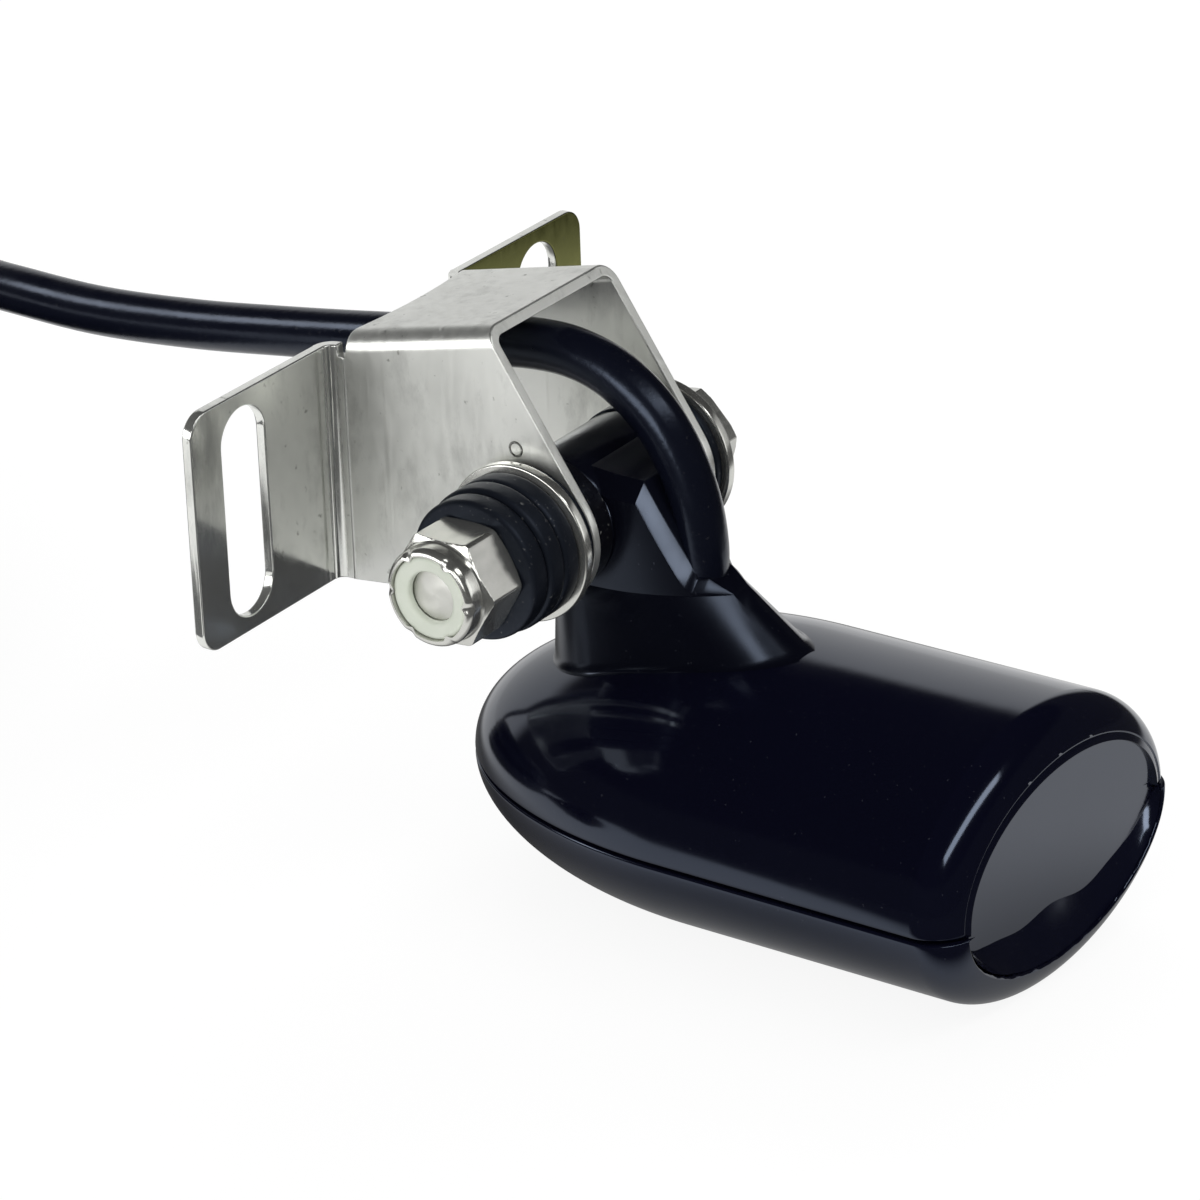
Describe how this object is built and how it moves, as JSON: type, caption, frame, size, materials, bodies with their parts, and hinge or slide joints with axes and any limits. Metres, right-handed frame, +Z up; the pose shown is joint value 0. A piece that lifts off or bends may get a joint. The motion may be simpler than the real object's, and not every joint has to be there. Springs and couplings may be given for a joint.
{
  "type": "transom-mount sonar transducer",
  "caption": "Sonar transducer: a glossy rounded body that tilts on a bolt in a folded steel transom bracket, with a coiled cable and plug.",
  "frame": {"origin": "middle of the base of the transducer and its bracket, without the cable", "axes": "+X from the bracket's flanges towards the tail of the body, +Z up, +Y along the pivot bolt towards its head"},
  "size_m": [0.2246, 0.1156, 0.0618],
  "materials": {
    "stainless_sheet": "polished sheet with fine scratches",
    "steel_fastener": "bright, lightly worn",
    "nylon_ring": "pale, slightly green",
    "black_rubber": "matte with dust",
    "ratchet_plastic": "satin black",
    "housing_plastic": "high gloss black",
    "piezo_ceramic": "fired ceramic with silvered faces",
    "foam": "closed-cell foam",
    "cork": "cork sheet",
    "potting_resin": "cast resin",
    "lead_jacket": "smooth",
    "cable_jacket": "satin black",
    "tie_plastic": "ribbed",
    "connector_plastic": "fine moulded texture",
    "contact_brass": "plated"
  },
  "bodies": {
    "bracket": {"mounting_bracket": "stainless_sheet", "pivot_bolt": "steel_fastener", "lock_nut": "steel_fastener", "nylon_insert": "nylon_ring", "nut_washer": "steel_fastener", "head_washer": "steel_fastener", "near_wall_rubber": "black_rubber", "rubber_washer_inner": "black_rubber", "rubber_washer_middle": "black_rubber", "rubber_washer_outer": "black_rubber", "far_wall_rubber": "black_rubber", "cable": "cable_jacket", "cable_coil": "cable_jacket", "cable_end": "cable_jacket", "coil_tie": "tie_plastic", "connector_boot": "cable_jacket", "connector_shell": "connector_plastic", "locking_ring": "connector_plastic", "connector_contacts": "contact_brass"},
    "transducer": {"near_ratchet": "ratchet_plastic", "far_ratchet": "ratchet_plastic", "upper_housing": "housing_plastic", "bottom_cap": "housing_plastic", "piezo_disc": "piezo_ceramic", "foam_sleeve": "foam", "cork_backing": "cork", "potting": "potting_resin", "lead_wires": "lead_jacket"}
  },
  "joints": [
    {"name": "transducer_tilt", "type": "hinge", "parent": "bracket", "child": "transducer", "pos_m": [-0.0156, 0, 0.0402], "axis": [0, 1, 0], "range_deg": [-20, 20], "deforming": ["cable"]}
  ]
}
